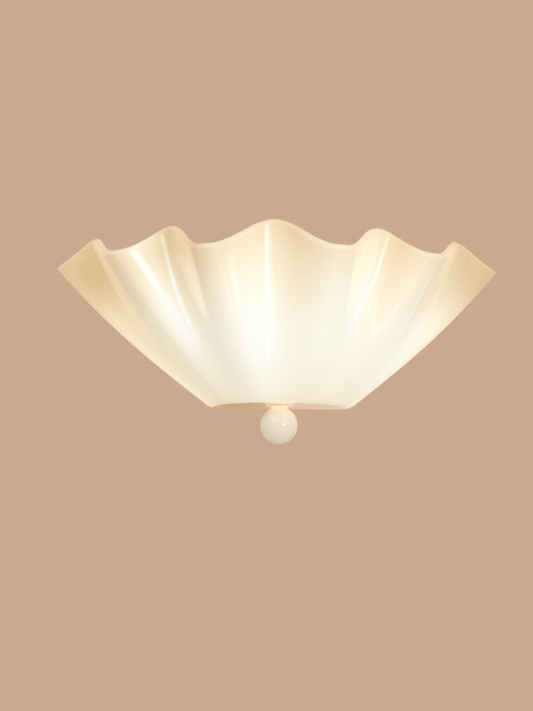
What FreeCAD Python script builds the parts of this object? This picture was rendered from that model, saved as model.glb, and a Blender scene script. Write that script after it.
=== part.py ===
"""Shell wall sconce: a fluted half bowl of alabaster on a steel wall bracket, with two small bulbs.

Millimetres. The wall is the plane Y = 0, the front faces -Y, +Z is up, and the origin is the centre
of the wall plate on the wall. Heights are counted from the underside of the shade, which lies
shade_drop below the origin.
"""
import FreeCAD, Part
import Sketcher
import math
import os

from FreeCAD import Placement, Rotation, Vector

doc = FreeCAD.newDocument("shell_wall_sconce")
sizes = doc.addObject("Spreadsheet::Sheet", "sizes")

DRIVING = {
    # shade: its rim follows a half oval, and each fold, crest and wall edge reaches a share of that
    # oval's radius and rises to a share of the shade's height; the carved rim stands rim_offset to one
    # side of the base
    "shade_width": 440.0,
    "shade_oval_depth": 198.0,
    "shade_height": 167.4,
    "shade_drop": 62.0,
    "shade_wall": 7.0,
    "shade_wall_gap": 1.0,
    "rim_offset": -5.0,
    "fold_inner_angle": 36.8,
    "fold_outer_angle": 69.3,
    "crest_inner_angle": 17.4,
    "crest_outer_angle": 49.9,
    "fold_centre_reach": 0.8182,
    "fold_inner_reach": 0.8187,
    "fold_outer_reach": 0.8938,
    "crest_inner_reach": 0.9814,
    "crest_outer_reach": 0.9335,
    "wall_edge_reach": 1.0,
    "fold_centre_rise": 1.0,
    "fold_inner_rise": 0.975,
    "fold_outer_rise": 0.945,
    "crest_inner_rise": 0.827,
    "crest_outer_rise": 0.834,
    "wall_edge_rise": 0.828,
    "crest_bulge": 0.055,
    "fold_bulge": 0.125,
    "crest_sharpness": 0.226,
    "base_flat_radius": 62.5,
    "base_corner_radius": 20.0,
    "base_corner_angle": 44.0,
    # felt bumpers between the shade's back edges and the wall
    "bumper_radius": 3.0,
    "bumper_lower_rise": 0.177,
    "bumper_upper_rise": 0.707,
    # rod through the base, and what it clamps
    "rod_offset": 38.0,
    "rod_radius": 5.0,
    "rod_bore_radius": 3.5,
    "rod_proud": 3.0,
    "loose_clearance": 0.3,
    "running_clearance": 0.05,
    "base_pad_radius": 16.0,
    "base_pad_thickness": 2.0,
    "clamp_washer_radius": 14.0,
    "clamp_washer_thickness": 2.0,
    "rod_nut_across": 14.0,
    "rod_nut_height": 5.0,
    # neck collar and ball finial
    "collar_top_radius": 13.0,
    "collar_foot_radius": 7.0,
    "collar_height": 2.3,
    "collar_lip": 0.6,
    "gasket_radius": 10.0,
    "gasket_thickness": 1.0,
    "gasket_recess": 0.7,
    "seat_gap": 0.05,
    "ball_radius": 18.5,
    "insert_radius": 6.0,
    "insert_length": 14.0,
    # wall plate and support arm
    "plate_width": 110.0,
    "plate_height": 84.0,
    "plate_thickness": 2.5,
    "plate_corner_radius": 8.0,
    "slot_spacing": 80.0,
    "slot_width": 5.2,
    "slot_run": 12.0,
    "arm_width": 25.0,
    "arm_thickness": 3.0,
    "arm_rise": 40.0,
    "arm_tip": 54.0,
    "arm_bend_radius": 4.0,
    "arm_screw_lower": 14.0,
    "arm_screw_pitch": 15.0,
    "screw_radius": 2.0,
    "screw_head_radius": 3.8,
    "screw_head_height": 2.4,
    # lamp bar, posts and holders
    "lamp_spacing": 84.0,
    "bar_length": 112.0,
    "bar_width": 20.0,
    "bar_thickness": 2.0,
    "post_rise": 14.0,
    "holder_radius": 13.5,
    "holder_floor": 8.0,
    "holder_collar_radius": 15.0,
    "holder_collar_height": 3.0,
    "holder_boss_radius": 3.0,
    "holder_boss_reach": 3.0,
    "sleeve_thickness": 0.5,
    "sleeve_length": 20.0,
    "sleeve_clearance": 0.25,
    "contact_radius": 3.0,
    "contact_thickness": 1.0,
    "contact_gap": 0.3,
    # bulbs
    "bulb_cap_radius": 6.9,
    "bulb_cap_length": 19.0,
    "bulb_tip_radius": 3.0,
    "bulb_tip_length": 2.0,
    "bulb_housing_length": 26.0,
    "bulb_neck_radius": 8.0,
    "bulb_radius": 22.5,
    "bulb_cut": 10.5,
    "bulb_wall": 1.2,
    "board_thickness": 1.5,
    # electrical pieces on the wall plate
    "block_width": 30.0,
    "block_height": 12.0,
    "block_depth": 13.0,
    "block_rise": 10.0,
    "way_pitch": 9.0,
    "way_radius": 1.6,
    "block_screw_radius": 1.5,
    "block_screw_head_radius": 2.4,
    "block_screw_head_height": 1.6,
    "clamp_screw_radius": 1.7,
    "clamp_screw_length": 4.0,
    "cable_hole_radius": 8.0,
    "cable_hole_offset": 24.0,
    "cable_hole_rise": 27.0,
    "grommet_bore_radius": 4.0,
    "grommet_flange_radius": 10.5,
    "grommet_flange": 1.5,
    "earth_offset": 24.0,
    "earth_rise": 28.0,
    "earth_tag_radius": 5.0,
    "earth_tag_thickness": 0.8,
    "lead_radius": 1.5,
    "earth_lead_radius": 1.2,
    "lead_entry": 5.0,
}
for row, (alias, number) in enumerate(DRIVING.items(), start=1):
    sizes.set("A%d" % row, alias)
    sizes.set("B%d" % row, repr(number))
    sizes.setAlias("B%d" % row, alias)
doc.recompute()

SIDES = (("left", -1), ("right", 1))
nodes = {}


def size(expression):
    """Number that an expression on the sheet's names gives."""
    answer = sizes.evalExpression(expression)
    return float(getattr(answer, "Value", answer))


def named(text):
    """Expression in which every name of the sheet is written as sizes.name."""
    words = []
    word = ""
    for letter in text + " ":
        if letter.isalnum() or letter in "_.":
            word += letter
            continue
        words.append("sizes." + word if word in DRIVING else word)
        words.append(letter)
        word = ""
    return "".join(words).strip()


def bind(thing, **bindings):
    """Ties properties of an object to the sheet."""
    for prop, text in bindings.items():
        thing.setExpression(prop.replace("__", "."), named(str(text)))
    return thing


def place(thing, x="0", y="0", z="0", rotation=None):
    """Puts an object at a place given by expressions."""
    if rotation is not None:
        thing.Placement = Placement(Vector(), rotation)
    return bind(thing, Placement__Base__x=x, Placement__Base__y=y, Placement__Base__z=z)


def keep(node, thing):
    """Gives an object the name of its node."""
    thing.Label = node
    nodes[node] = thing
    return thing


def cylinder(name, radius, height, x="0", y="0", z="0", rotation=None):
    thing = doc.addObject("Part::Cylinder", name)
    bind(thing, Radius=radius, Height=height)
    return place(thing, x, y, z, rotation)


def box(name, length, width, height, x, y, z):
    thing = doc.addObject("Part::Box", name)
    bind(thing, Length=length, Width=width, Height=height)
    return place(thing, x, y, z)


def fuse(name, shapes):
    thing = doc.addObject("Part::MultiFuse", name)
    thing.Shapes = shapes
    return thing


def cut(name, base, tools):
    thing = doc.addObject("Part::Cut", name)
    thing.Base = base
    thing.Tool = tools[0] if len(tools) == 1 else fuse(name + "_tools", tools)
    return thing


def group(name, shapes):
    thing = doc.addObject("Part::Compound", name)
    thing.Links = shapes
    return thing


def origin_plane(body, role):
    return [part for part in body.Origin.OriginFeatures if part.Role == role][0]


def profile_sketch(body, name, role, corners):
    """Closed outline of straight lines whose corners are tied to the sheet."""
    sketch = body.newObject("Sketcher::SketchObject", name)
    sketch.AttachmentSupport = [(origin_plane(body, role), "")]
    sketch.MapMode = "FlatFace"
    points = [Vector(size(named(across)), size(named(up)), 0) for across, up in corners]
    count = len(points)
    for index in range(count):
        sketch.addGeometry(Part.LineSegment(points[index], points[(index + 1) % count]), False)
    for index in range(count):
        sketch.addConstraint(Sketcher.Constraint("Coincident", index, 2, (index + 1) % count, 1))
    for index, (across, up) in enumerate(corners):
        for kind, text, at in (("DistanceX", across, points[index].x), ("DistanceY", up, points[index].y)):
            rank = sketch.addConstraint(Sketcher.Constraint(kind, -1, 1, index, 1, at))
            sketch.setExpression("Constraints[%d]" % rank, named(text))
    return sketch


def turned(name, corners, x="0", y="0", z="0", rotation=None):
    """Body of revolution about its own Z, from corners given as radius and height."""
    body = doc.addObject("PartDesign::Body", name)
    sketch = profile_sketch(body, name + "_profile", "XZ_Plane", corners)
    spin = body.newObject("PartDesign::Revolution", name + "_turn")
    spin.Profile = sketch
    spin.ReferenceAxis = (sketch, ["V_Axis"])
    spin.Angle = 360
    sketch.Visibility = False
    return place(body, x, y, z, rotation)


def ring(name, outer, inner, height, x="0", y="0", z="0"):
    corners = [(inner, "0"), (outer, "0"), (outer, height), (inner, height)]
    return turned(name, corners, x, y, z)


def hex_nut(name, across, height, bore, x, y, z):
    body = doc.addObject("Part::Prism", name + "_body")
    body.Polygon = 6
    bind(body, Circumradius="(%s) / 2 / cos(30 deg)" % across, Height=height)
    place(body, x, y, z)
    hole = cylinder(name + "_hole", bore, height, x, y, z)
    return cut(name, body, [hole])


TO_WALL = Rotation(Vector(1, 0, 0), -90)   # turns +Z to +Y
TO_FRONT = Rotation(Vector(1, 0, 0), 90)   # turns +Z to -Y

UNDERSIDE = "-shade_drop"
FLOOR = UNDERSIDE + " + shade_wall"
PAD_TOP = FLOOR + " + base_pad_thickness"
WASHER_TOP = PAD_TOP + " + clamp_washer_thickness"
ARM_UNDER = WASHER_TOP + " + rod_nut_height"
ARM_TOP = ARM_UNDER + " + arm_thickness"
BAR_TOP = ARM_TOP + " + bar_thickness"
HOLDER_FOOT = BAR_TOP + " + post_rise"
COLLAR_FOOT = UNDERSIDE + " - seat_gap - gasket_thickness + gasket_recess - collar_height"
BALL_CENTRE = COLLAR_FOOT + " - sqrt(ball_radius ^ 2 - collar_foot_radius ^ 2)"
ROD_FOOT = COLLAR_FOOT + " - insert_length + rod_proud"
CAP_FOOT = HOLDER_FOOT + " + holder_floor + contact_thickness + contact_gap + bulb_tip_length"
PLATE_FACE = "-plate_thickness"
ROD_Y = "-rod_offset"
HOLDER_LENGTH = "holder_floor + contact_thickness + bulb_tip_length + bulb_cap_length"


# ---------------------------------------------------------------- shade
WALL_EDGE = 90.0            # angle of the shade's edges on the wall, from the front
STOPS = ([0.0] + [size("sizes.%s_angle" % which)
                  for which in ("crest_inner", "fold_inner", "crest_outer", "fold_outer")] + [WALL_EDGE])


def rim_between(angle, fold_values, crest_values, edge_value, sharpness):
    """Value along the rim at an angle from the front: folds, crests and the wall edge in turn."""
    values = [fold_values[0], crest_values[0], fold_values[1], crest_values[1], fold_values[2], edge_value]
    angle = min(abs(angle), WALL_EDGE)
    index = max(i for i in range(5) if angle >= STOPS[i])
    share = (angle - STOPS[index]) / (STOPS[index + 1] - STOPS[index])
    lean = sharpness * math.sin(math.pi * share) / math.pi
    share += -lean if index % 2 == 0 else lean
    return values[index] + (values[index + 1] - values[index]) * (1 - math.cos(math.pi * share)) / 2


def rim_sizes(kind, whole):
    """Sizes of the folds, the crests and the wall edge, as shares of a whole size."""
    folds = [size("sizes.fold_%s_%s * %s" % (which, kind, whole)) for which in ("centre", "inner", "outer")]
    crests = [size("sizes.crest_%s_%s * %s" % (which, kind, whole)) for which in ("inner", "outer")]
    return folds, crests, size("sizes.wall_edge_%s * %s" % (kind, whole))


RIM_RADII = rim_sizes("reach", "sizes.shade_width / 2")
RIM_HEIGHTS = rim_sizes("rise", "sizes.shade_height")
DEPTH_SHARE = size("2 * sizes.shade_oval_depth / sizes.shade_width")
CORNER_STEPS = 3
WALL_STEPS = 8
FLUTE_STEPS = 7
SLOPE_STEP = 0.01           # share of a row, or of a degree, over which a slope is measured
SAME_PLACE = 0.01


def outer_point(angle, row):
    """Point of the outer surface: rows 0 to CORNER_STEPS round the foot, then up to the rim."""
    corner = size("sizes.base_corner_radius")
    lean = math.radians(size("sizes.base_corner_angle"))
    if row <= CORNER_STEPS:
        turn = lean * row / CORNER_STEPS
        radius = size("sizes.base_flat_radius") + corner * math.sin(turn)
        height = corner * (1 - math.cos(turn))
        share = 0.0
    else:
        share = (row - CORNER_STEPS) / WALL_STEPS
        foot_radius = size("sizes.base_flat_radius") + corner * math.sin(lean)
        foot_height = corner * (1 - math.cos(lean))
        rim_radius = rim_between(angle, *RIM_RADII, size("sizes.crest_sharpness"))
        rim_height = rim_between(angle, *RIM_HEIGHTS, 0.0)
        bulges = ([size("sizes.fold_bulge")] * 3, [size("sizes.crest_bulge")] * 2, size("sizes.crest_bulge"))
        bulge = rim_between(angle, *bulges, 0.0)
        climb = share + bulge * math.sin(math.pi * share)
        radius = foot_radius + (rim_radius - foot_radius) * climb
        height = foot_height + (rim_height - foot_height) * share
    turn = math.radians(angle)
    across = radius * math.sin(turn) + share * size("sizes.rim_offset")
    return Vector(across, -DEPTH_SHARE * radius * math.cos(turn), height)


def inner_point(angle, row):
    """Point of the inner surface: the outer point moved in by the wall along the surface's normal."""
    step = SLOPE_STEP
    last = CORNER_STEPS + WALL_STEPS
    low, high = max(row - step, 0), min(row + step, last)
    up = outer_point(angle, high) - outer_point(angle, low)
    side = outer_point(min(angle + step, WALL_EDGE), row) - outer_point(max(angle - step, -WALL_EDGE), row)
    inward = side.cross(up)
    if abs(angle) == WALL_EDGE:
        inward.y = 0
    if row == 0:
        inward = Vector(0, 0, 1)
    inward.normalize()
    if inward.z < 0:
        inward = -inward
    return outer_point(angle, row) + inward * size("sizes.shade_wall")


def flute_angles():
    right = [0.0]
    for start, end in zip(STOPS, STOPS[1:]):
        right += [start + (end - start) * step / FLUTE_STEPS for step in range(1, FLUTE_STEPS + 1)]
    return [-angle for angle in reversed(right[1:])] + right


def surface(point_at, angles):
    grid = [[point_at(angle, row) for row in range(CORNER_STEPS + WALL_STEPS + 1)] for angle in angles]
    skin = Part.BSplineSurface()
    skin.interpolate(grid)
    return skin.toShape()


def edge_through(face, start, end):
    """Edge of a face that runs between two points."""
    for edge in face.Edges:
        ends = [vertex.Point for vertex in edge.Vertexes]
        for first, last in (ends, ends[::-1]) if len(ends) == 2 else ():
            if (first - start).Length < SAME_PLACE and (last - end).Length < SAME_PLACE:
                return edge
    raise ValueError("no such edge of the shade")


def fluted_bowl():
    angles = flute_angles()
    top = CORNER_STEPS + WALL_STEPS
    outer, inner = surface(outer_point, angles), surface(inner_point, angles)
    corners = {}
    for name, point_at in (("outer", outer_point), ("inner", inner_point)):
        for side, angle in (("left", -WALL_EDGE), ("right", WALL_EDGE)):
            corners[name, side] = (point_at(angle, 0), point_at(angle, top))
    rims = [edge_through(face, corners[name, "left"][1], corners[name, "right"][1])
            for name, face in (("outer", outer), ("inner", inner))]
    feet = [edge_through(face, corners[name, "left"][0], corners[name, "right"][0])
            for name, face in (("outer", outer), ("inner", inner))]
    rim = Part.makeRuledSurface(rims[0], rims[1])
    lines = [Part.makeLine(corners[name, "left"][0], corners[name, "right"][0])
             for name in ("outer", "inner")]
    floors = [Part.Face(Part.Wire([foot, line])) for foot, line in zip(feet, lines)]
    back_edges = list(lines)
    for side in ("left", "right"):
        for name, face in (("outer", outer), ("inner", inner)):
            back_edges.append(edge_through(face, *corners[name, side]))
        back_edges.append(Part.makeLine(corners["outer", side][1], corners["inner", side][1]))
    back = Part.Face(Part.Wire(Part.__sortEdges__(back_edges)))
    shell = Part.Shell([outer, inner, rim, back] + floors)
    shell.sewShape()
    bowl = Part.Solid(shell)
    if bowl.Volume < 0:
        bowl.reverse()
    return bowl


shade = doc.addObject("Part::Feature", "shade")
hole_foot = Vector(0, size("sizes.shade_wall_gap - sizes.rod_offset"), size("-sizes.shade_wall"))
hole = Part.makeCylinder(size("sizes.rod_radius + sizes.loose_clearance"), size("3 * sizes.shade_wall"),
                         hole_foot)
shade.Shape = fluted_bowl().cut(hole)
place(shade, y="-shade_wall_gap", z=UNDERSIDE)
keep("shade", shade)

felt = []
for level in ("lower", "upper"):
    height = size("sizes.bumper_%s_rise * sizes.shade_height" % level)
    foot, top = outer_point(WALL_EDGE, CORNER_STEPS).z, outer_point(WALL_EDGE, CORNER_STEPS + WALL_STEPS).z
    row = CORNER_STEPS + WALL_STEPS * (height - foot) / (top - foot)
    for side, sign in SIDES:
        middle = (outer_point(sign * WALL_EDGE, row) + inner_point(sign * WALL_EDGE, row)) / 2
        felt.append(cylinder("bumper_%s_%s" % (level, side), "bumper_radius", "shade_wall_gap",
                             "%r" % middle.x, "-shade_wall_gap", "%s + %r" % (UNDERSIDE, middle.z), TO_WALL))
keep("wall_bumpers", group("wall_bumpers", felt))


# ---------------------------------------------------------------- rod, clamp and finial
ROD_LENGTH = "%s + rod_nut_height + rod_proud - (%s)" % (BAR_TOP, ROD_FOOT)
keep("threaded_rod", ring("threaded_rod", "rod_radius", "rod_bore_radius", ROD_LENGTH, y=ROD_Y, z=ROD_FOOT))
keep("base_pad", ring("base_pad", "base_pad_radius", "rod_radius", "base_pad_thickness", y=ROD_Y, z=FLOOR))
keep("clamp_washer", ring("clamp_washer", "clamp_washer_radius", "rod_radius", "clamp_washer_thickness",
                          y=ROD_Y, z=PAD_TOP))
rod_nuts = [hex_nut("rod_nut_%s" % name, "rod_nut_across", "rod_nut_height", "rod_radius", "0", ROD_Y, level)
            for name, level in (("under_arm", WASHER_TOP), ("over_bar", BAR_TOP))]
keep("rod_nuts", group("rod_nuts", rod_nuts))

collar_bore = "rod_radius + loose_clearance"
collar = turned("neck_collar", [
    (collar_bore, "0"), ("collar_foot_radius", "0"), ("collar_top_radius", "collar_height - collar_lip"),
    ("collar_top_radius", "collar_height"), ("gasket_radius", "collar_height"),
    ("gasket_radius", "collar_height - gasket_recess"), (collar_bore, "collar_height - gasket_recess")],
    y=ROD_Y, z=COLLAR_FOOT)
keep("neck_collar", collar)
keep("finial_gasket", ring("finial_gasket", "gasket_radius", collar_bore, "gasket_thickness", y=ROD_Y,
                           z=COLLAR_FOOT + " + collar_height - gasket_recess"))

ball = doc.addObject("Part::Sphere", "ball_blank")
bind(ball, Radius="ball_radius", Angle2="acos(collar_foot_radius / ball_radius)")
place(ball, y=ROD_Y, z=BALL_CENTRE)
INSERT_FOOT = COLLAR_FOOT + " - insert_length"
ball_hole = cylinder("ball_hole", "insert_radius", "insert_length", y=ROD_Y, z=INSERT_FOOT)
keep("finial_ball", cut("finial_ball", ball, [ball_hole]))
keep("finial_insert", ring("finial_insert", "insert_radius", "rod_radius + running_clearance",
                           "insert_length", y=ROD_Y, z=INSERT_FOOT))


# ---------------------------------------------------------------- wall plate and support arm
def front_screw(name, radius, head_radius, head_height, x, face, z, depth):
    """Screw that stands in from the front, its head on a face at that Y."""
    shank = cylinder(name + "_shank", radius, "%s + %s" % (depth, head_height), x,
                     "%s + %s" % (face, depth), z, TO_FRONT)
    head = cylinder(name + "_head", head_radius, head_height, x, face, z, TO_FRONT)
    return fuse(name, [shank, head])


def front_hole(name, radius, x, z, front, depth):
    return cylinder(name, radius, depth, x, "%s + %s" % (front, depth), z, TO_FRONT)


plate_blank = box("plate_blank", "plate_width", "plate_thickness", "plate_height",
                  "-plate_width / 2", PLATE_FACE, "-plate_height / 2")
plate_tools = []
for side, sign in SIDES:
    centre = "%d * slot_spacing / 2" % sign
    run = "slot_run - slot_width"
    plate_tools.append(box("slot_%s" % side, run, "plate_thickness", "slot_width",
                           "%s - (%s) / 2" % (centre, run), PLATE_FACE, "-slot_width / 2"))
    for end, share in (("near", -1), ("far", 1)):
        plate_tools.append(front_hole("slot_%s_%s" % (side, end), "slot_width / 2",
                                      "%s + %d * (%s) / 2" % (centre, share, run), "0", PLATE_FACE,
                                      "plate_thickness"))
ARM_SCREWS = [ARM_UNDER + " + arm_screw_lower", ARM_UNDER + " + arm_screw_lower + arm_screw_pitch"]
for index, level in enumerate(ARM_SCREWS):
    plate_tools.append(front_hole("plate_tap_%d" % index, "screw_radius", "0", level, PLATE_FACE,
                                  "plate_thickness"))
plate_tools.append(front_hole("cable_hole", "cable_hole_radius", "-cable_hole_offset", "cable_hole_rise",
                              PLATE_FACE, "plate_thickness"))
plate_tools.append(front_hole("earth_hole", "screw_radius", "earth_offset", "earth_rise", PLATE_FACE,
                              "plate_thickness"))
BLOCK_SCREW_X = "way_pitch / 2"
plate_tools.append(front_hole("block_hole", "block_screw_radius", BLOCK_SCREW_X, "block_rise", PLATE_FACE,
                              "plate_thickness"))
doc.recompute()
plate_round = doc.addObject("Part::Fillet", "plate_round")
plate_round.Base = plate_blank
corner = size("sizes.plate_corner_radius")
plate_round.Edges = [(rank + 1, corner, corner) for rank, edge in enumerate(plate_blank.Shape.Edges)
                     if abs(edge.tangentAt(edge.FirstParameter).y) > 0.99]
keep("wall_plate", cut("wall_plate", plate_round, plate_tools))

arm = doc.addObject("PartDesign::Body", "support_arm")
leg_back, leg_front = PLATE_FACE, PLATE_FACE + " - arm_thickness"
arm_profile = profile_sketch(arm, "arm_profile", "YZ_Plane", [
    (leg_back, ARM_UNDER), (leg_back, ARM_UNDER + " + arm_rise"), (leg_front, ARM_UNDER + " + arm_rise"),
    (leg_front, ARM_TOP), ("-arm_tip", ARM_TOP), ("-arm_tip", ARM_UNDER)])
arm_strip = arm.newObject("PartDesign::Pad", "arm_strip")
arm_strip.Profile = arm_profile
arm_strip.Midplane = True
arm_strip.setExpression("Length", named("arm_width"))
doc.recompute()


def edges_along_x(solid, y, z):
    """Names of a solid's edges that run along X at that Y and Z."""
    found = []
    for rank, edge in enumerate(solid.Edges):
        middle = edge.CenterOfMass
        along = edge.tangentAt(edge.FirstParameter)
        if abs(along.x) > 0.99 and abs(middle.y - y) < 0.01 and abs(middle.z - z) < 0.01:
            found.append("Edge%d" % (rank + 1))
    return found


inner_bend = arm.newObject("PartDesign::Fillet", "arm_inner_bend")
inner_bend.Base = (arm_strip, edges_along_x(arm_strip.Shape, size(named(leg_front)), size(named(ARM_TOP))))
inner_bend.setExpression("Radius", named("arm_bend_radius"))
doc.recompute()
outer_bend = arm.newObject("PartDesign::Fillet", "arm_outer_bend")
outer_bend.Base = (inner_bend, edges_along_x(inner_bend.Shape, size(named(leg_back)), size(named(ARM_UNDER))))
outer_bend.setExpression("Radius", named("arm_bend_radius + arm_thickness"))
doc.recompute()
arm_tools = [cylinder("arm_rod_hole", "rod_radius", "arm_thickness", y=ROD_Y, z=ARM_UNDER)]
for index, level in enumerate(ARM_SCREWS):
    arm_tools.append(front_hole("arm_screw_hole_%d" % index, "screw_radius", "0", level, leg_front,
                                "arm_thickness"))
keep("support_arm", cut("support_arm_drilled", arm, arm_tools))
arm_screws = [front_screw("arm_screw_%d" % index, "screw_radius", "screw_head_radius", "screw_head_height",
                          "0", leg_front, level, "(arm_thickness + plate_thickness)")
              for index, level in enumerate(ARM_SCREWS)]
keep("arm_screws", group("arm_screws", arm_screws))


# ---------------------------------------------------------------- lamp bar, posts and holders
LAMP_X = {side: "%d * lamp_spacing / 2" % sign for side, sign in SIDES}
bar_blank = box("bar_blank", "bar_length", "bar_width", "bar_thickness", "-bar_length / 2",
                "-rod_offset - bar_width / 2", ARM_TOP)
bar_tools = [cylinder("bar_hole_%s" % side, "rod_radius", "bar_thickness", LAMP_X[side], ROD_Y, ARM_TOP)
             for side, sign in SIDES]
bar_tools.append(cylinder("bar_rod_hole", "rod_radius", "bar_thickness", "0", ROD_Y, ARM_TOP))
keep("lamp_bar", cut("lamp_bar", bar_blank, bar_tools))

posts, post_nuts = [], []
for side, sign in SIDES:
    posts.append(ring("post_%s" % side, "rod_radius", "rod_bore_radius",
                      "2 * rod_proud + rod_nut_height + bar_thickness + post_rise", LAMP_X[side], ROD_Y,
                      ARM_TOP + " - rod_nut_height - rod_proud"))
    for name, level in (("under", ARM_TOP + " - rod_nut_height"), ("over", BAR_TOP)):
        post_nuts.append(hex_nut("post_nut_%s_%s" % (side, name), "rod_nut_across", "rod_nut_height",
                                 "rod_radius", LAMP_X[side], ROD_Y, level))
keep("holder_posts", group("holder_posts", posts))
keep("post_nuts", group("post_nuts", post_nuts))

sleeve_bore = "bulb_cap_radius + sleeve_clearance"
sleeve_outer = sleeve_bore + " + sleeve_thickness"
COLLAR_UNDER = HOLDER_LENGTH + " - holder_collar_height"
for side, sign in SIDES:
    x = LAMP_X[side]
    shell = turned("holder_shell_" + side, [
        ("rod_radius", "0"), ("holder_radius", "0"), ("holder_radius", COLLAR_UNDER),
        ("holder_collar_radius", COLLAR_UNDER),
        ("holder_collar_radius", HOLDER_LENGTH), (sleeve_outer, HOLDER_LENGTH),
        (sleeve_outer, "holder_floor"), ("rod_radius", "holder_floor")], x, ROD_Y, HOLDER_FOOT)
    plug = cylinder("holder_plug_" + side, "rod_radius + seat_gap", "holder_floor - rod_proud", x, ROD_Y,
                    HOLDER_FOOT + " + rod_proud")
    boss = cylinder("holder_boss_" + side, "holder_boss_radius",
                    "holder_boss_reach + holder_radius - rod_radius - seat_gap",
                    x, ROD_Y + " + rod_radius + seat_gap", HOLDER_FOOT + " + holder_floor / 2", TO_WALL)
    keep("lamp_holder_" + side, fuse("lamp_holder_" + side, [shell, plug, boss]))
    keep("holder_sleeve_" + side, ring("holder_sleeve_" + side, sleeve_outer, sleeve_bore, "sleeve_length",
                                       x, ROD_Y, HOLDER_FOOT + " + holder_floor"))
    keep("holder_contact_" + side, cylinder("holder_contact_" + side, "contact_radius", "contact_thickness",
                                            x, ROD_Y, HOLDER_FOOT + " + holder_floor"))


# ---------------------------------------------------------------- bulbs
NECK_TOP = "bulb_cap_length + bulb_housing_length"
mouth = "sqrt(bulb_radius ^ 2 - bulb_cut ^ 2)"
for side, sign in SIDES:
    x = LAMP_X[side]
    name = "bulb_%s_" % side
    keep(name + "contact", cylinder(name + "contact", "bulb_tip_radius", "bulb_tip_length", x, ROD_Y,
                                    CAP_FOOT + " - bulb_tip_length"))
    keep(name + "cap", turned(name + "cap", [
        ("0", "0"), ("bulb_tip_radius", "0"), ("bulb_cap_radius", "bulb_tip_length"),
        ("bulb_cap_radius", "bulb_cap_length"), ("0", "bulb_cap_length")], x, ROD_Y, CAP_FOOT))
    keep(name + "housing", turned(name + "housing", [
        ("0", "0"), ("bulb_neck_radius", "0"), (mouth, "bulb_housing_length"),
        (mouth + " - bulb_wall", "bulb_housing_length"),
        (mouth + " - bulb_wall", "bulb_housing_length - board_thickness"),
        ("0", "bulb_housing_length - board_thickness")], x, ROD_Y, CAP_FOOT + " + bulb_cap_length"))
    keep(name + "led_board", cylinder(name + "led_board", mouth + " - bulb_wall", "board_thickness", x, ROD_Y,
                                      CAP_FOOT + " + %s - board_thickness" % NECK_TOP))
    globe = doc.addObject("Part::Sphere", name + "globe")
    bind(globe, Radius="bulb_radius", Angle1="-asin(bulb_cut / bulb_radius)")
    room = doc.addObject("Part::Sphere", name + "room")
    bind(room, Radius="bulb_radius - bulb_wall")
    for part in (globe, room):
        place(part, x, ROD_Y, CAP_FOOT + " + %s + bulb_cut" % NECK_TOP)
    keep(name + "diffuser", cut(name + "diffuser", globe, [room]))


# ---------------------------------------------------------------- electrical pieces on the plate
block_front = PLATE_FACE + " - block_depth"
block_base = "block_rise - block_height / 2"
WAY_Y = PLATE_FACE + " - block_depth / 2"
WAYS = {"left": "-way_pitch", "middle": "0", "right": "way_pitch"}
block_blank = box("block_blank", "block_width", "block_depth", "block_height", "-block_width / 2",
                  block_front, block_base)
block_tools = [cylinder("way_%s" % way, "way_radius", "block_height", WAYS[way], WAY_Y, block_base)
               for way in WAYS]
block_tools += [front_hole("way_screw_hole_%s" % way, "clamp_screw_radius", WAYS[way], "block_rise",
                           block_front, "clamp_screw_length") for way in WAYS]
block_tools.append(front_hole("block_screw_hole", "block_screw_radius", BLOCK_SCREW_X, "block_rise",
                              block_front, "block_depth"))
keep("terminal_block", cut("terminal_block", block_blank, block_tools))
keep("terminal_screws", group("terminal_screws", [
    front_hole("terminal_screw_%s" % way, "clamp_screw_radius", WAYS[way], "block_rise",
               block_front + " + 2 * seat_gap", "clamp_screw_length - 2 * seat_gap") for way in WAYS]))
keep("block_screw", front_screw("block_screw", "block_screw_radius", "block_screw_head_radius",
                                "block_screw_head_height", BLOCK_SCREW_X, block_front, "block_rise",
                                "(block_depth + plate_thickness)"))

flange_front = "plate_thickness + grommet_flange"
grommet = turned("cable_grommet", [
    ("grommet_bore_radius", "0"), ("cable_hole_radius", "0"), ("cable_hole_radius", "plate_thickness"),
    ("grommet_flange_radius", "plate_thickness"), ("grommet_flange_radius", flange_front),
    ("grommet_bore_radius", flange_front)], "-cable_hole_offset", "0", "cable_hole_rise", TO_FRONT)
keep("cable_grommet", grommet)

tag_face = PLATE_FACE + " - earth_tag_thickness"
tag_blank = cylinder("tag_blank", "earth_tag_radius", "earth_tag_thickness", "earth_offset", PLATE_FACE,
                     "earth_rise", TO_FRONT)
tag_hole = cylinder("tag_hole", "screw_radius", "earth_tag_thickness", "earth_offset", PLATE_FACE,
                    "earth_rise", TO_FRONT)
barrel_y = PLATE_FACE + " - earth_lead_radius - earth_tag_thickness - seat_gap"
tag_barrel = cylinder("tag_barrel", "earth_lead_radius + earth_tag_thickness", "earth_tag_radius",
                      "earth_offset - screw_head_radius - seat_gap", barrel_y, "earth_rise",
                      Rotation(Vector(0, 1, 0), -90))
keep("earth_tag", cut("earth_tag", fuse("tag_body", [tag_blank, tag_barrel]), [tag_hole]))
keep("earth_screw", front_screw("earth_screw", "screw_radius", "screw_head_radius - seat_gap",
                                "screw_head_height", "earth_offset", tag_face, "earth_rise",
                                "(earth_tag_thickness + plate_thickness)"))


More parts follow.
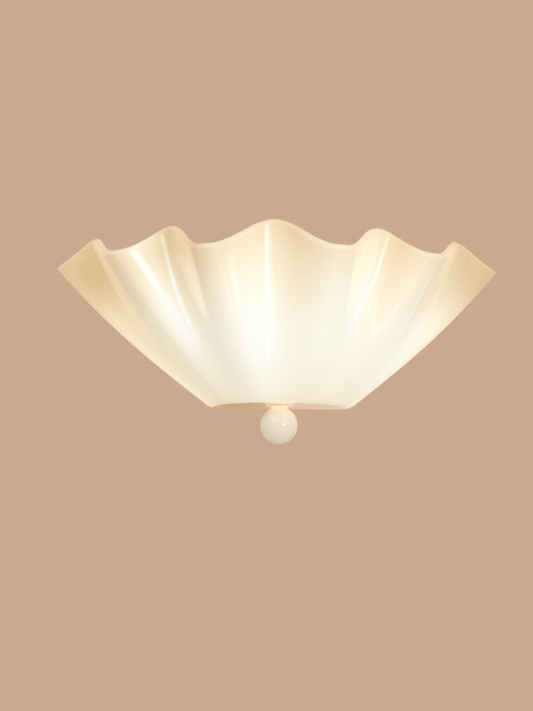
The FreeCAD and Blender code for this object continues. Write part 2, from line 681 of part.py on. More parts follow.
def tube(name, radius, route):
    """Round lead along straight runs joined by tangent arcs, each as large as its two runs allow."""
    edges, radii, start = [], [], route[0]
    for before, at, after in zip(route, route[1:], route[2:]):
        run_in, run_out = at - before, after - at
        turn = run_in.getAngle(run_out)
        setback = 0.45 * min(run_in.Length, run_out.Length)
        radii.append(setback / math.tan(turn / 2))
        way_in, way_out = Vector(run_in).normalize(), Vector(run_out).normalize()
        first, last = at - way_in * setback, at + way_out * setback
        to_centre = (way_out - way_in).normalize()
        middle = at + to_centre * (radii[-1] / math.cos(turn / 2) - radii[-1])
        edges.append(Part.LineSegment(start, first).toShape())
        edges.append(Part.Arc(first, middle, last).toShape())
        start = last
    edges.append(Part.LineSegment(start, route[-1]).toShape())
    path = Part.Wire(edges)
    ring_edge = Part.makeCircle(radius, route[0], route[1] - route[0])
    solid = path.makePipeShell([Part.Wire([ring_edge])], True, True)
    print("%s: length %.1f, radii %s, volume share %.4f" % (
        name, path.Length, ["%.1f" % bend for bend in radii],
        solid.Volume / (math.pi * radius ** 2 * path.Length)))
    thing = doc.addObject("Part::Feature", name)
    thing.Shape = solid
    return keep(name, thing)


def spot(x, y, z):
    return Vector(size(named(x)), size(named(y)), size(named(z)))


def between(start, end, x, y, z):
    """Point at its own share of the way along each axis."""
    gap = end - start
    return Vector(start.x + gap.x * x, start.y + gap.y * y, start.z + gap.z * z)


for side, sign in SIDES:
    way_foot = spot(WAYS[side], WAY_Y, block_base)
    entry = spot(LAMP_X[side], ROD_Y + " + holder_radius + holder_boss_reach",
                 HOLDER_FOOT + " + holder_floor / 2")
    below = way_foot - Vector(0, 0, size("sizes.block_height") * 0.75)
    behind = entry + Vector(0, size("sizes.holder_radius"), 0)
    tube("lamp_lead_" + side, size("sizes.lead_radius"), [
        way_foot + Vector(0, 0, size("sizes.lead_entry")), below, between(below, behind, 0.22, 0.15, 0.6),
        between(below, behind, 0.62, 0.5, 0.95), behind, entry])
tag_end = spot("earth_offset - screw_head_radius - seat_gap - earth_tag_radius", barrel_y, "earth_rise")
way_head = spot("0", WAY_Y, block_base + " + block_height")
over = way_head + Vector(0, 0, size("sizes.block_height") * 0.75)
tube("earth_lead", size("sizes.earth_lead_radius"), [
    tag_end, between(tag_end, over, 0.4, 0, 0), between(tag_end, over, 0.85, 0.6, 0.3), over,
    way_head - Vector(0, 0, size("sizes.lead_entry"))])


# ---------------------------------------------------------------- check and write
doc.recompute()
for thing in doc.Objects:
    faults = [word for word in thing.State if word in ("Invalid", "Error")]
    if faults:
        raise RuntimeError("%s did not build: %s" % (thing.Label, faults))
os.makedirs("parts", exist_ok=True)
for node, thing in nodes.items():
    if thing.Shape.isNull() or not thing.Shape.isValid() or not thing.Shape.Solids:
        raise RuntimeError("%s has no valid solid" % node)
    thing.Shape.exportStep("parts/%s.step" % node)
print("%d nodes written" % len(nodes))
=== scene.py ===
import bpy
import math
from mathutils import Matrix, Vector, noise


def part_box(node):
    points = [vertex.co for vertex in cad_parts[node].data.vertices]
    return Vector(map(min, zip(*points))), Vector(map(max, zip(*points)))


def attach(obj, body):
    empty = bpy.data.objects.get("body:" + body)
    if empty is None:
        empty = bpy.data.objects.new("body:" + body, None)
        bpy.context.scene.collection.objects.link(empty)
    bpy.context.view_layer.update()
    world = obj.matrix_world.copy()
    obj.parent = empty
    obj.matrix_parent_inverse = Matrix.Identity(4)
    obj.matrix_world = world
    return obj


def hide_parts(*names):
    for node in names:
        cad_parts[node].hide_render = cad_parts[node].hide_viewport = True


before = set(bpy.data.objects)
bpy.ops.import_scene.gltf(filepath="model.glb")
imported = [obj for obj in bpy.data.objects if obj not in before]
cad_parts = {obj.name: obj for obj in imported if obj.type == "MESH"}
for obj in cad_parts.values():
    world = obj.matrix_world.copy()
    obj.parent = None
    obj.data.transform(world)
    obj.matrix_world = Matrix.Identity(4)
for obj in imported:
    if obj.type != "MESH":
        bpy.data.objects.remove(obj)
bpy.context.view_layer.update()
MM = 0.001

# ------------------------------------------------------------------ sizes, in millimetres and degrees
SHADE_DROP = 62.0           # underside of the shade below the origin
SHADE_WALL = 7.0
WALL_GAP = 1.0              # shade to wall
DEPTH_SHARE = 0.9           # depth of the half oval against its half width
RIM_OFFSET = -5.0           # the carved rim stands to one side of the base

# Round the rim from the front to the wall: fold, crest, fold, crest, fold, wall edge. Both sides are alike.
STOPS = (0.0, 17.4, 36.8, 49.9, 69.3, 90.0)
RIM_RADII = (180.0, 215.9, 180.1, 205.4, 196.6, 220.0)
RIM_HEIGHTS = (167.4, 138.4, 163.2, 139.6, 158.2, 138.6)
# The peaks of the rim stand a little inside its folds, steep on the side towards the middle.
RISE_STOPS = (0.0, 17.4, 35.2, 49.9, 68.3, 90.0)
RISE_SKEW = 1.4
HALF_FLUTES = len(STOPS) - 1

FOLD_BULGE, CREST_BULGE = 0.125, 0.055      # how far a fold and a crest swell, as a share of their reach
BULGES = (FOLD_BULGE, CREST_BULGE) * 3
CREST_SHARPNESS = 0.226
FLAT_RADIUS, CORNER_RADIUS, CORNER_LEAN = 62.5, 20.0, math.radians(44.0)
CREASE_DEPTH, CREASE_SPREAD = 1.3, 1.7      # a fold's sharp inner line
CREASE_START = 0.25                         # share of the height at which it sets in
CREASE_SET_IN, CREASE_RUN_OUT = 3.0, 12.0   # how quickly it deepens there and ends at the rim
CARVE_DEPTH, CARVE_SCALE = 0.9, 0.022       # unevenness of the hand carving
CARVE_SET_IN = 4.0                          # how quickly it grows above the base
LIP_ROUND, LIP_ANGLE = 1.8, math.radians(60.0)
ROD_OFFSET, HOLE_RADIUS, DRILL_DEPTH = 38.0, 5.3, 40.0
BALL_RADIUS = 18.5
BALL_EDGE_ROUND, BALL_EDGE_ANGLE = 0.4, math.radians(18.0)

# Rows of the shade's mesh up the flat base, the rounded foot and the wall, and columns in half a flute.
DISC_ROWS, CORNER_ROWS, WALL_ROWS = 6, 6, 46
ROWS = DISC_ROWS + CORNER_ROWS + WALL_ROWS
COLUMNS_A_FLUTE = 32
COLUMNS = 2 * HALF_FLUTES * COLUMNS_A_FLUTE


# ------------------------------------------------------------------ shader expressions
class Field:
    """A shader socket that adds, subtracts, multiplies and divides like a number."""

    def __init__(self, nodes, socket):
        self.nodes, self.socket = nodes, socket

    def _math(self, operation, first, second=0.0, clamp=False):
        return self.nodes.node("ShaderNodeMath", {"operation": operation, "use_clamp": clamp},
                               {0: first, 1: second})

    def __add__(self, other): return self._math("ADD", self, other)
    def __radd__(self, other): return self._math("ADD", other, self)
    def __sub__(self, other): return self._math("SUBTRACT", self, other)
    def __rsub__(self, other): return self._math("SUBTRACT", other, self)
    def __mul__(self, other): return self._math("MULTIPLY", self, other)
    def __rmul__(self, other): return self._math("MULTIPLY", other, self)
    def __truediv__(self, other): return self._math("DIVIDE", self, other)
    def __pow__(self, other): return self._math("POWER", self, other)
    def __neg__(self): return self._math("MULTIPLY", self, -1.0)

    def clamped(self): return self._math("ADD", self, 0.0, clamp=True)
    def exp(self): return self._math("EXPONENT", self)
    def or_more(self, other): return self._math("MAXIMUM", self, other)

    def step(self, low, high):
        """0 below low, 1 above high, smooth between."""
        return self.nodes.node("ShaderNodeMapRange", {"interpolation_type": "SMOOTHSTEP"},
                               {"Value": self, "From Min": low, "From Max": high})


class Nodes:
    """A node tree, whose nodes all come from one method."""

    def __init__(self, tree):
        self.tree = tree

    def node(self, kind, settings=None, inputs=None, out=0):
        made = self.tree.nodes.new(kind)
        for key, value in (settings or {}).items():
            if key == "stops":
                self._stops(made.color_ramp, value)
            else:
                setattr(made, key, value)
        for key, value in (inputs or {}).items():
            self.feed(made.inputs[key], value)
        return Field(self, made.outputs[out])

    def _stops(self, ramp, stops):
        while len(ramp.elements) < len(stops):
            ramp.elements.new(1.0)
        for element, (at, colour) in zip(ramp.elements, stops):
            element.position = at
            element.color = (*colour, 1.0)

    def feed(self, socket, value):
        """Links a field to a socket, or writes a value there. A colour may come without its alpha."""
        if isinstance(value, Field):
            self.tree.links.new(value.socket, socket)
        elif socket.type == "RGBA" and len(value) == 3:
            socket.default_value = (*value, 1.0)
        else:
            socket.default_value = value


class Finish(Nodes):
    """A material round its Principled shader."""

    def __init__(self, name):
        self.material = bpy.data.materials.new(name)
        self.material.use_nodes = True
        super().__init__(self.material.node_tree)
        self.surface = self.tree.nodes["Principled BSDF"]
        self.place = self.node("ShaderNodeTexCoord", out="Object")

    def set(self, **values):
        """Feeds inputs of the Principled shader: base_color is Base Color."""
        names = {name.lower().replace(" ", "_"): name for name in self.surface.inputs.keys()}
        for key, value in values.items():
            self.feed(self.surface.inputs[names[key]], value)

    def noise(self, scale, detail=2.0, roughness=0.5, distortion=0.0, at=None):
        return self.node("ShaderNodeTexNoise", None, {"Vector": at or self.place, "Scale": scale,
                         "Detail": detail, "Roughness": roughness, "Distortion": distortion})

    def axis(self, letter):
        """A place on the piece along one axis, in millimetres."""
        return self.node("ShaderNodeSeparateXYZ", None, {0: self.place}, "XYZ".index(letter)) / MM

    def upright(self, scale):
        """Object coordinates with the height scaled."""
        return self.node("ShaderNodeMapping", None, {"Vector": self.place, "Scale": (1.0, 1.0, scale)})

    def attribute(self, name):
        return self.node("ShaderNodeAttribute", {"attribute_name": name}, None, "Fac")

    def ramp(self, value, *stops):
        return self.node("ShaderNodeValToRGB", {"stops": stops}, {0: value})

    def times(self, colour, factor):
        return self.node("ShaderNodeVectorMath", {"operation": "SCALE"}, {0: colour, "Scale": factor})

    def bump(self, height, strength, distance):
        self.set(normal=self.node("ShaderNodeBump", None,
                                  {"Height": height, "Strength": strength, "Distance": distance}))


# ------------------------------------------------------------------ stone
# Stone tints picked by the painted light, from the painted shade of the thick base, through the dimmer amber
# patches, to the
# brightest painted glow: what the stone reflects, and what light it lets through, both lit and shaded by
# paint. The lit stone starts at the second.
TINTS = (0.0, 0.12, 0.34, 0.56, 0.78, 0.912, 1.0)
STONE = ((0.52, 0.33, 0.15), (0.70, 0.52, 0.31), (0.75, 0.59, 0.39), (0.80, 0.66, 0.47), (0.84, 0.73, 0.57),
         (0.865, 0.785, 0.65), (0.88, 0.84, 0.74))
GLOW = ((0.20, 0.12, 0.03), (0.331, 0.245, 0.132), (0.388, 0.310, 0.213), (0.424, 0.387, 0.293),
        (0.46, 0.459, 0.376), (0.473, 0.505, 0.476), (0.473, 0.536, 0.573))
AMBER = TINTS[1]

# The painted glow of the bulbs through the stone: its middle and spread across and up, in millimetres, how
# much it adds there, and the painted light far from it.
GLOW_X, GLOW_Z, GLOW_WIDE, GLOW_TALL = 43.0, 3.0, 295.0, 133.0
GLOW_GAIN, GLOW_LEAST = 0.834, 0.114

# Patches where the painted light is dimmer and more amber, partly the stone's own amber clouds and partly
# painted shade; a negative depth paints a brighter patch. Bearing from the front in degrees, height share,
# spread of each, depth of tint.
CLOUDS_AND_SHADE = (
    (-77.0, 0.81, 15.0, 0.20, 0.39),
    (-90.0, 0.33, 4.0, 0.80, 0.20),
    (-33.0, 0.89, 13.0, 0.07, 0.11),
    (7.0, 0.95, 7.0, 0.43, 0.33),
    (42.0, 1.14, 4.0, 0.55, 0.31),
    (82.0, 0.88, 21.0, 0.25, 0.48),
    (-41.0, 0.88, 13.0, 0.29, 0.41),
    (-10.0, 0.31, 13.0, 0.69, -0.10),
    (-44.0, 0.94, 6.0, 0.51, -0.60),
    (-72.0, 0.50, 11.0, 0.54, 0.22),
    (72.0, 0.33, 10.0, 0.25, -0.04),
    (-23.0, 1.15, 6.0, 0.42, 0.42),
)

# Painted highlights along the folds, pale lines that stand in for reflections of the lamps on the creases:
# bearing at the foot and at the rim, half width in degrees, the heights between which each shows, and how much
# it brightens.
PAINTED_HIGHLIGHTS = (
    (-4.2, -2.2, 0.55, 0.22, 1.00, 0.45),
    (-39.5, -45.4, 0.8, 0.30, 1.00, 0.40),
    (-40.5, -37.9, 0.6, 0.30, 1.00, 0.45),
    (34.0, 38.2, 0.5, 0.45, 1.00, 0.30),
    (33.0, 34.0, 2.2, 0.35, 1.00, 0.14),
    (-13.5, -12.0, 0.8, 0.45, 0.97, 0.10),
    (62.0, 50.5, 0.8, 0.35, 0.95, 0.10),
)
HIGHLIGHT_FADE_IN, HIGHLIGHT_FADE_OUT = 0.2, 0.04

# Painted shade towards the rim, where the glow dims, and a painted bright line on the thin lip: between which
# heights, and by how much.
RIM_PAINTED_SHADE, LIP_PAINTED_HIGHLIGHT = (0.78, 0.98, -0.06), (0.985, 0.997, 0.06)

# Painted shade on the thick base, darker and browner, most on the left: the height over which its edge fades
# and the places across it between which the shade eases on the right, in millimetres, then how much darker and
# browner it is.
BASE_FADE, BASE_SHADE_EASES = (0.05, 1.2), (-45.0, 20.0)
BASE_SHADE_DEPTH, BASE_RIGHT_LESS_SHADE, BASE_SHADE_BROWNING = 1.05, 0.6, 0.12

# Painted extra glow on the flanks, beyond what their patches give: bearings between which this sets in, the
# heights between which it fades, by what share it fades, and how much it adds. The last number is the painted
# glow everywhere else.
LEFT_FLANK_GLOW, RIGHT_FLANK_GLOW = (48.0, 78.0, 0.55, 0.95, 0.5, 0.42), (45.0, 80.0, 0.5, 0.85, 1.0, 0.22)
EVEN_GLOW = 1.01


def stone_grain(finish):
    """Soft veins and specks, about 0 on average."""
    drift = finish.noise(9.0, 3.0, 0.55, 0.8)
    veins = finish.noise(26.0, 5.0, 0.6, 1.6, finish.upright(0.45))
    specks = finish.noise(240.0, 2.0)
    return (drift - 0.5) * 0.34 + (veins - 0.5) * 0.16 + (specks - 0.5) * 0.03


def stone_tints(finish, light, shade_browning=0.0):
    """Colour and glow of the stone for a painted light, from 0 in the painted shade to 1 where the painted
    glow is brightest; the last argument paints the shade browner.
    """
    shade = light.clamped() * (1.0 - AMBER) + AMBER - shade_browning
    return tuple(finish.ramp(shade, *zip(TINTS, colours)) for colours in (STONE, GLOW))


def hill(across, up):
    """1 in the middle, falling off smoothly as either distance grows past 1."""
    return (-(across ** 2.0) - up ** 2.0).exp()


def shade_light(finish, bearing, climb):
    """Painted light through the shade's wall: the painted glow, with its patches of amber and painted shade,
    grain, painted highlights along the folds, painted shade towards the rim and a painted bright line on the
    thin lip.
    """
    # The painted glow of the bulbs, dimmer far from them.
    across = (finish.axis("X") - GLOW_X) / GLOW_WIDE
    up = (finish.axis("Z") - GLOW_Z) / GLOW_TALL
    light = hill(across, up) * GLOW_GAIN + GLOW_LEAST
    # Patches of amber tint and painted shade, and a few painted brighter ones.
    for at, height, wide, tall, tint in CLOUDS_AND_SHADE:
        light = light - hill((bearing - at) / wide, (climb - height) / tall) * tint
    light = light + stone_grain(finish) * (1.1 - light)
    # Painted highlights along the folds.
    for foot, rim, wide, low, high, gain in PAINTED_HIGHLIGHTS:
        off = (bearing - (climb * (rim - foot) + foot)) / wide
        ends = climb.step(low, low + HIGHLIGHT_FADE_IN) * (1.0 - climb.step(high - HIGHLIGHT_FADE_OUT, high))
        light = light + (-(off ** 2.0)).exp() * ends * gain
    # Painted shade towards the rim and a painted bright line on the lip.
    for low, high, change in (RIM_PAINTED_SHADE, LIP_PAINTED_HIGHLIGHT):
        light = light + climb.step(low, high) * change
    return light


# Painted extra glow on one flank, fading towards the rim.
def flank_glow(bearing, climb, flank):
    near, far, low, high, fade, gain = flank
    return bearing.step(near, far) * (1.0 - climb.step(low, high) * fade) * gain


def lit_alabaster():
    finish = Finish("lit_alabaster")
    bearing, climb = finish.attribute("bearing"), finish.attribute("climb")
    light = shade_light(finish, bearing, climb)
    # Painted shade on the thick base, darker and browner on the left.
    base = 1.0 - (finish.axis("Z") + SHADE_DROP).step(*BASE_FADE)
    right_half = finish.axis("X").step(*BASE_SHADE_EASES)
    light = light - base * (BASE_SHADE_DEPTH - right_half * BASE_RIGHT_LESS_SHADE)
    colour, glow = stone_tints(finish, light, base * (1.0 - right_half) * BASE_SHADE_BROWNING)
    # Painted glow: more on the flanks, the same share everywhere else.
    flanks = flank_glow(-bearing, climb, LEFT_FLANK_GLOW) + flank_glow(bearing, climb, RIGHT_FLANK_GLOW)
    glow = finish.times(glow, flanks + EVEN_GLOW)
    finish.set(base_color=colour, emission_color=glow, emission_strength=1.0, roughness=0.20,
               coat_weight=0.6, coat_roughness=0.06, ior=1.5)
    finish.bump(finish.noise(60.0, 2.0), 0.08, 0.001)
    return finish.material


def plain_alabaster(name, painted_light, glow_strength):
    """Stone with one even level of painted light in its colour and glow, less than on the shade: the ball and
    the collar.
    """
    finish = Finish(name)
    # The glow is painted at one even level; these pieces are no lamps.
    colour, glow = stone_tints(finish, painted_light + stone_grain(finish) * 0.9)
    finish.set(base_color=colour, emission_color=glow, emission_strength=glow_strength, roughness=0.16,
               coat_weight=0.6, coat_roughness=0.05)
    return finish.material


# ------------------------------------------------------------------ other finishes
def two_tone(finish, tone, dark, light):
    return finish.ramp(tone, (0.3, dark), (0.7, light))


def enamel():
    finish = Finish("white_enamel")
    peel = finish.noise(900.0, 2.0)
    finish.set(base_color=two_tone(finish, finish.noise(30.0, 2.0), (0.72, 0.69, 0.62), (0.80, 0.77, 0.70)),
               roughness=0.32 + peel * 0.12)
    finish.bump(peel, 0.15, 0.0002)
    return finish.material


def metal(name, dark, light, roughness):
    finish = Finish(name)
    tool_marks = finish.noise(140.0, 3.0, at=finish.upright(12.0))
    finish.set(base_color=two_tone(finish, finish.noise(60.0, 3.0), dark, light), metallic=1.0,
               roughness=roughness + tool_marks * 0.18)
    finish.bump(tool_marks, 0.08, 0.0001)
    return finish.material


def moulded(name, dark, light, roughness, grain=700.0):
    finish = Finish(name)
    pores = finish.noise(grain, 2.0)
    finish.set(base_color=two_tone(finish, finish.noise(40.0, 2.0), dark, light),
               roughness=roughness + pores * 0.12)
    finish.bump(pores, 0.12, 0.0002)
    return finish.material


def felt():
    finish = Finish("felt")
    fibres = finish.noise(1800.0, 4.0, 0.7)
    finish.set(base_color=two_tone(finish, fibres, (0.30, 0.26, 0.21), (0.44, 0.39, 0.32)), roughness=0.95)
    finish.bump(fibres, 0.6, 0.0003)
    return finish.material


def opal_glass():
    finish = Finish("opal_glass")
    haze = finish.noise(50.0, 2.0)
    finish.set(base_color=(0.62, 0.58, 0.52), roughness=0.22 + haze * 0.06, emission_strength=0.62,
               emission_color=two_tone(finish, haze, (1.0, 0.86, 0.66), (1.0, 0.90, 0.73)))
    return finish.material


def board():
    """White circuit board with yellow chips."""
    finish = Finish("board")
    chips = finish.node("ShaderNodeTexVoronoi", None, {"Vector": finish.place, "Scale": 220.0})
    finish.set(base_color=finish.ramp(chips, (0.25, (0.95, 0.75, 0.20)), (0.35, (0.86, 0.85, 0.80))),
               roughness=0.4)
    return finish.material


# ------------------------------------------------------------------ modelling by hand
def deselect():
    bpy.ops.object.select_all(action="DESELECT")


def apply_modifier(piece, kind, **settings):
    modifier = piece.modifiers.new(kind.lower(), kind)
    for key, value in settings.items():
        setattr(modifier, key, value)
    bpy.context.view_layer.objects.active = piece
    bpy.ops.object.modifier_apply(modifier=modifier.name)


def give_finish(piece, material):
    piece.data.materials.clear()
    piece.data.materials.append(material)


def name_piece(name, material):
    """Names the primitive that was just added."""
    piece = bpy.context.object
    piece.name = piece.data.name = name
    give_finish(piece, material)
    return piece


def edit_all(operator, **settings):
    """Runs one edit operator on the whole of the active piece."""
    bpy.ops.object.mode_set(mode="EDIT")
    bpy.ops.mesh.select_all(action="SELECT")
    operator(**settings)
    bpy.ops.object.mode_set(mode="OBJECT")


# ------------------------------------------------------------------ shade
def along_rim(bearing, values, sharpness=0.0, stops=STOPS, skew=1.0):
    """Value between two stops of the rim, at a bearing from the front in degrees."""
    bearing = min(abs(bearing), stops[-1])
    index = max(i for i in range(HALF_FLUTES) if bearing >= stops[i])
    share = (bearing - stops[index]) / (stops[index + 1] - stops[index])
    to_fold = index % 2
    if to_fold:
        share = share ** skew
    lean = sharpness * math.sin(math.pi * share) / math.pi
    share += lean if to_fold else -lean
    return values[index] + (values[index + 1] - values[index]) * (1 - math.cos(math.pi * share)) / 2


def bearing_of(column):
    """Bearing of a column: the same number of columns in each half flute."""
    side = column - COLUMNS // 2
    index, step = divmod(abs(side), COLUMNS_A_FLUTE)
    if index == HALF_FLUTES:
        return math.copysign(STOPS[-1], side)
    return math.copysign(STOPS[index] + (STOPS[index + 1] - STOPS[index]) * step / COLUMNS_A_FLUTE, side)


def crease_at(bearing, share):
    """How far the wall is drawn in along the middle line of a fold."""
    lines = sum(math.exp(-((abs(bearing) - fold) / CREASE_SPREAD) ** 2) for fold in STOPS[::2])
    set_in = min(1.0, max(0.0, (share - CREASE_START) * CREASE_SET_IN))
    return lines * (CREASE_DEPTH * set_in * min(1.0, (1 - share) * CREASE_RUN_OUT))


def shade_point(bearing, row):
    """Radius, height and climb of the outer surface at a row: base, rounded foot, then the wall."""
    foot_radius = FLAT_RADIUS + CORNER_RADIUS * math.sin(CORNER_LEAN)
    foot_height = CORNER_RADIUS * (1 - math.cos(CORNER_LEAN))
    if row <= DISC_ROWS:
        return FLAT_RADIUS * row / DISC_ROWS, 0.0, 0.0
    if row <= DISC_ROWS + CORNER_ROWS:
        turn = CORNER_LEAN * (row - DISC_ROWS) / CORNER_ROWS
        return FLAT_RADIUS + CORNER_RADIUS * math.sin(turn), CORNER_RADIUS * (1 - math.cos(turn)), 0.0
    share = (row - DISC_ROWS - CORNER_ROWS) / WALL_ROWS
    rim_radius = along_rim(bearing, RIM_RADII, CREST_SHARPNESS)
    rim_height = along_rim(bearing, RIM_HEIGHTS, stops=RISE_STOPS, skew=RISE_SKEW)
    reach = share + along_rim(bearing, BULGES) * math.sin(math.pi * share)
    return (foot_radius + (rim_radius - foot_radius) * reach - crease_at(bearing, share),
            foot_height + (rim_height - foot_height) * share, share)


def shade_spot(bearing, row):
    """Place of a mesh point in metres, with the hand's unevenness, and its climb."""
    radius, height, climb = shade_point(bearing, row)
    turn = math.radians(bearing)
    spot = Vector((radius * math.sin(turn) + climb * RIM_OFFSET,
                   -DEPTH_SHARE * radius * math.cos(turn), height))
    if abs(bearing) < STOPS[-1]:
        carve = noise.noise(spot * CARVE_SCALE) * CARVE_DEPTH * min(1.0, climb * CARVE_SET_IN)
        spot += Vector((math.sin(turn), -math.cos(turn), 0)) * carve * math.cos(turn)
    return (spot + Vector((0, -WALL_GAP, -SHADE_DROP))) * MM, climb


def drill_shade(shade):
    """The hole for the rod."""
    deselect()
    bpy.ops.mesh.primitive_cylinder_add(vertices=48, radius=HOLE_RADIUS * MM, depth=DRILL_DEPTH * MM,
                                        location=(0, -ROD_OFFSET * MM, -SHADE_DROP * MM))
    drill = bpy.context.object
    apply_modifier(shade, "BOOLEAN", operation="DIFFERENCE", object=drill, solver="EXACT")
    bpy.data.objects.remove(drill)


def make_shade(material):
    deselect()
    bpy.ops.mesh.primitive_grid_add(x_subdivisions=COLUMNS, y_subdivisions=ROWS, size=2.0)
    shade = name_piece("fluted_shade", material)
    bearings = shade.data.attributes.new("bearing", "FLOAT", "POINT")
    climbs = shade.data.attributes.new("climb", "FLOAT", "POINT")
    for vertex in shade.data.vertices:
        bearing = bearing_of(round((vertex.co.x + 1) / 2 * COLUMNS))
        vertex.co, climb = shade_spot(bearing, round((vertex.co.y + 1) / 2 * ROWS))
        bearings.data[vertex.index].value = bearing
        climbs.data[vertex.index].value = climb
    edit_all(bpy.ops.mesh.remove_doubles, threshold=1e-6)
    apply_modifier(shade, "SOLIDIFY", thickness=SHADE_WALL * MM, offset=-1.0, use_even_offset=True)
    apply_modifier(shade, "BEVEL", width=LIP_ROUND * MM, segments=3, limit_method="ANGLE",
                   angle_limit=LIP_ANGLE)
    drill_shade(shade)
    deselect()
    shade.select_set(True)
    bpy.context.view_layer.objects.active = shade
    bpy.ops.object.shade_smooth_by_angle(angle=math.radians(50))
    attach(shade, "fixture")
    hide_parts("shade")


# ------------------------------------------------------------------ finial
def make_ball(material):
    """A ball cut flat where it meets the collar."""
    low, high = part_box("finial_ball")
    middle = Vector(((low[0] + high[0]) / 2, (low[1] + high[1]) / 2, low[2] + BALL_RADIUS * MM))
    deselect()
    bpy.ops.mesh.primitive_uv_sphere_add(segments=96, ring_count=48, radius=BALL_RADIUS * MM, location=middle)
    ball = name_piece("ball_finial", material)
    bpy.ops.object.transform_apply(location=True, rotation=True, scale=True)
    edit_all(bpy.ops.mesh.bisect, plane_co=(0, 0, high[2]), plane_no=(0, 0, 1), use_fill=True,
             clear_outer=True)
    apply_modifier(ball, "BEVEL", width=BALL_EDGE_ROUND * MM, segments=2, limit_method="ANGLE",
                   angle_limit=BALL_EDGE_ANGLE)
    bpy.ops.object.shade_smooth_by_angle(angle=math.radians(35))
    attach(ball, "finial")
    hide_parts("finial_ball")


# ------------------------------------------------------------------ dress the CAD nodes
def both(*names):
    """The pieces of both lamps: a star stands for left and right."""
    return [name.replace("*", side) for name in names for side in ("left", "right")]


def dress():
    """Gives every CAD node that stays its finish."""
    finishes = (
        (plain_alabaster("collar_alabaster", 0.72, 0.6), ["neck_collar"]),
        (felt(), ["wall_bumpers"]),
        (metal("brass", (0.55, 0.36, 0.13), (0.70, 0.50, 0.21), 0.22),
         ["threaded_rod", "clamp_washer", "rod_nuts", "finial_insert", "earth_screw",
          *both("holder_sleeve_*", "holder_contact_*")]),
        (metal("zinc_steel", (0.50, 0.51, 0.53), (0.66, 0.67, 0.69), 0.28),
         ["arm_screws", "holder_posts", "post_nuts", "terminal_screws", "block_screw"]),
        (metal("tinned_copper", (0.58, 0.55, 0.51), (0.70, 0.67, 0.62), 0.30),
         ["earth_tag", *both("bulb_*_contact")]),
        (metal("nickel", (0.58, 0.56, 0.52), (0.72, 0.70, 0.66), 0.18), both("bulb_*_cap")),
        (enamel(), ["wall_plate", "support_arm", "lamp_bar"]),
        (moulded("rubber", (0.020, 0.020, 0.021), (0.035, 0.034, 0.033), 0.62, 500.0),
         ["base_pad", "finial_gasket", "cable_grommet"]),
        (moulded("holder_plastic", (0.74, 0.70, 0.61), (0.82, 0.79, 0.71), 0.40), both("lamp_holder_*")),
        (moulded("terminal_plastic", (0.72, 0.71, 0.66), (0.80, 0.79, 0.75), 0.42), ["terminal_block"]),
        (moulded("lead_sheath", (0.76, 0.74, 0.69), (0.83, 0.81, 0.77), 0.45), both("lamp_lead_*")),
        (moulded("earth_sheath", (0.16, 0.33, 0.05), (0.42, 0.47, 0.06), 0.42, 90.0), ["earth_lead"]),
        (moulded("bulb_plastic", (0.80, 0.78, 0.74), (0.87, 0.86, 0.82), 0.24), both("bulb_*_housing")),
        (board(), both("bulb_*_led_board")),
        (opal_glass(), both("bulb_*_diffuser")),
    )
    for material, names in finishes:
        for name in names:
            give_finish(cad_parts[name], material)


# ------------------------------------------------------------------ stage, light and camera
BACKGROUND = (0.591, 0.397, 0.270)
FLOOR_COLOUR, FLOOR_WIDTH, FLOOR_HEIGHT = (0.78, 0.68, 0.56), 8.0, -1.5
SOFT_LIGHT, SOFT_STRENGTH = (1.0, 0.96, 0.89), 0.42
LAMP_COLOUR = (1.0, 0.97, 0.93)

# Each lamp: where it stands and what it points at in metres, its width and height, and its power in watts.
LAMPS = (
    ("key", (-1.4, -2.2, 1.6), (0, -0.1, 0), 2.4, 2.4, 12.4),
    ("fill", (1.8, -2.0, 0.6), (0, -0.1, 0), 1.8, 1.8, 6.6),
    ("crease_strip", (0.49, -0.85, -0.80), (0.0, -0.13, 0.03), 0.06, 1.1, 0.4),
    ("window", (1.55, -2.7, 0.1), (0, -0.04, -0.08), 0.16, 0.9, 9.0),
)

# The photograph's camera: bearing and height angle of the view, its roll, and the pixel where the point on the
# wall level with the shade's underside falls.
CAMERA_YAW, CAMERA_RISE, CAMERA_ROLL = math.radians(0.96), math.radians(5.13), math.radians(0.64)
CAMERA_DISTANCE, SENSOR_WIDTH = 4.0, 36.0
PHOTO_WIDE, PHOTO_TALL = 533, 711
BASE_POINT = (279.9, 409.0)


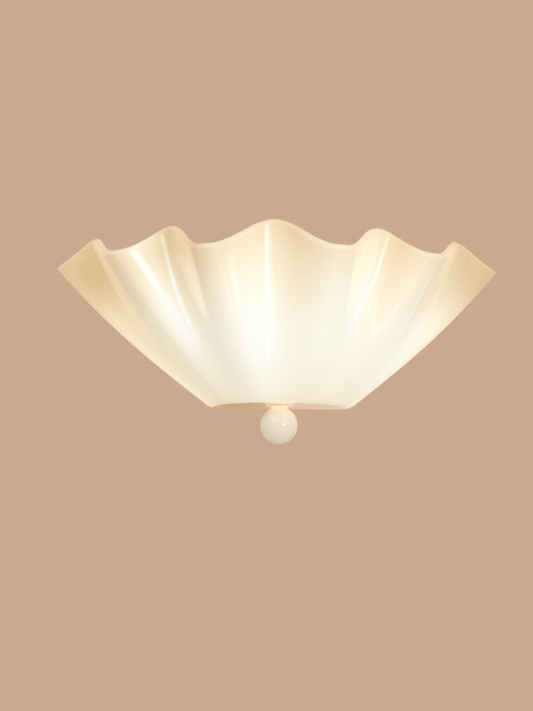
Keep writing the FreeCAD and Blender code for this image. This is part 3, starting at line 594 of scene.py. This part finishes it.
def make_world():
    """Soft light all round, with the background's colour where a camera, a mirror or glass sees it."""
    world = bpy.data.worlds.new("studio")
    bpy.context.scene.world = world
    world.use_nodes = True
    studio = Nodes(world.node_tree)
    seen_by = [studio.node("ShaderNodeLightPath", out=ray)
               for ray in ("Is Camera Ray", "Is Glossy Ray", "Is Transmission Ray")]
    light = studio.node("ShaderNodeBackground", None, {"Color": SOFT_LIGHT, "Strength": SOFT_STRENGTH})
    sight = studio.node("ShaderNodeBackground", None, {"Color": BACKGROUND})
    share = seen_by[0].or_more(seen_by[1]).or_more(seen_by[2])
    studio.feed(world.node_tree.nodes["World Output"].inputs[0],
                studio.node("ShaderNodeMixShader", None, {0: share, 1: light, 2: sight}))


def make_floor():
    deselect()
    bpy.ops.mesh.primitive_plane_add(size=FLOOR_WIDTH, location=(0, 0, FLOOR_HEIGHT))
    finish = Finish("floor")
    finish.set(base_color=FLOOR_COLOUR, roughness=0.9, specular_ior_level=0.0)
    name_piece("floor", finish.material)


def stand(name, data, at, turn):
    """Puts a lamp or camera into the scene."""
    holder = bpy.data.objects.new(name, data)
    bpy.context.scene.collection.objects.link(holder)
    holder.location = at
    holder.rotation_euler = turn.to_track_quat("-Z", "Y").to_euler()
    return holder


def make_lights():
    for name, at, aim, wide, tall, power in LAMPS:
        lamp = bpy.data.lights.new(name, "AREA")
        lamp.shape, lamp.size, lamp.size_y = "RECTANGLE", wide, tall
        lamp.energy, lamp.color = power, LAMP_COLOUR
        stand(name, lamp, at, Vector(aim) - Vector(at))


def make_camera():
    camera = bpy.data.cameras.new("photo_camera")
    camera.sensor_width = SENSOR_WIDTH
    camera.lens = SENSOR_WIDTH * CAMERA_DISTANCE / (PHOTO_TALL * MM)
    camera.shift_x = -(BASE_POINT[0] - PHOTO_WIDE / 2) / PHOTO_TALL
    camera.shift_y = (BASE_POINT[1] - PHOTO_TALL / 2) / PHOTO_TALL
    back = Vector((math.sin(CAMERA_YAW) * math.cos(CAMERA_RISE), -math.cos(CAMERA_YAW) * math.cos(CAMERA_RISE),
                   -math.sin(CAMERA_RISE)))
    at = Vector((0, 0, -SHADE_DROP * MM)) + back * CAMERA_DISTANCE
    holder = stand("photo_camera", camera, at, -back)
    holder.rotation_euler.rotate_axis("Z", CAMERA_ROLL)
    bpy.context.scene.camera = holder


make_shade(lit_alabaster())
make_ball(plain_alabaster("ball_alabaster", 0.79, 0.60))
dress()
make_world()
make_floor()
make_lights()
make_camera()
bpy.context.scene.view_settings.view_transform = "Standard"
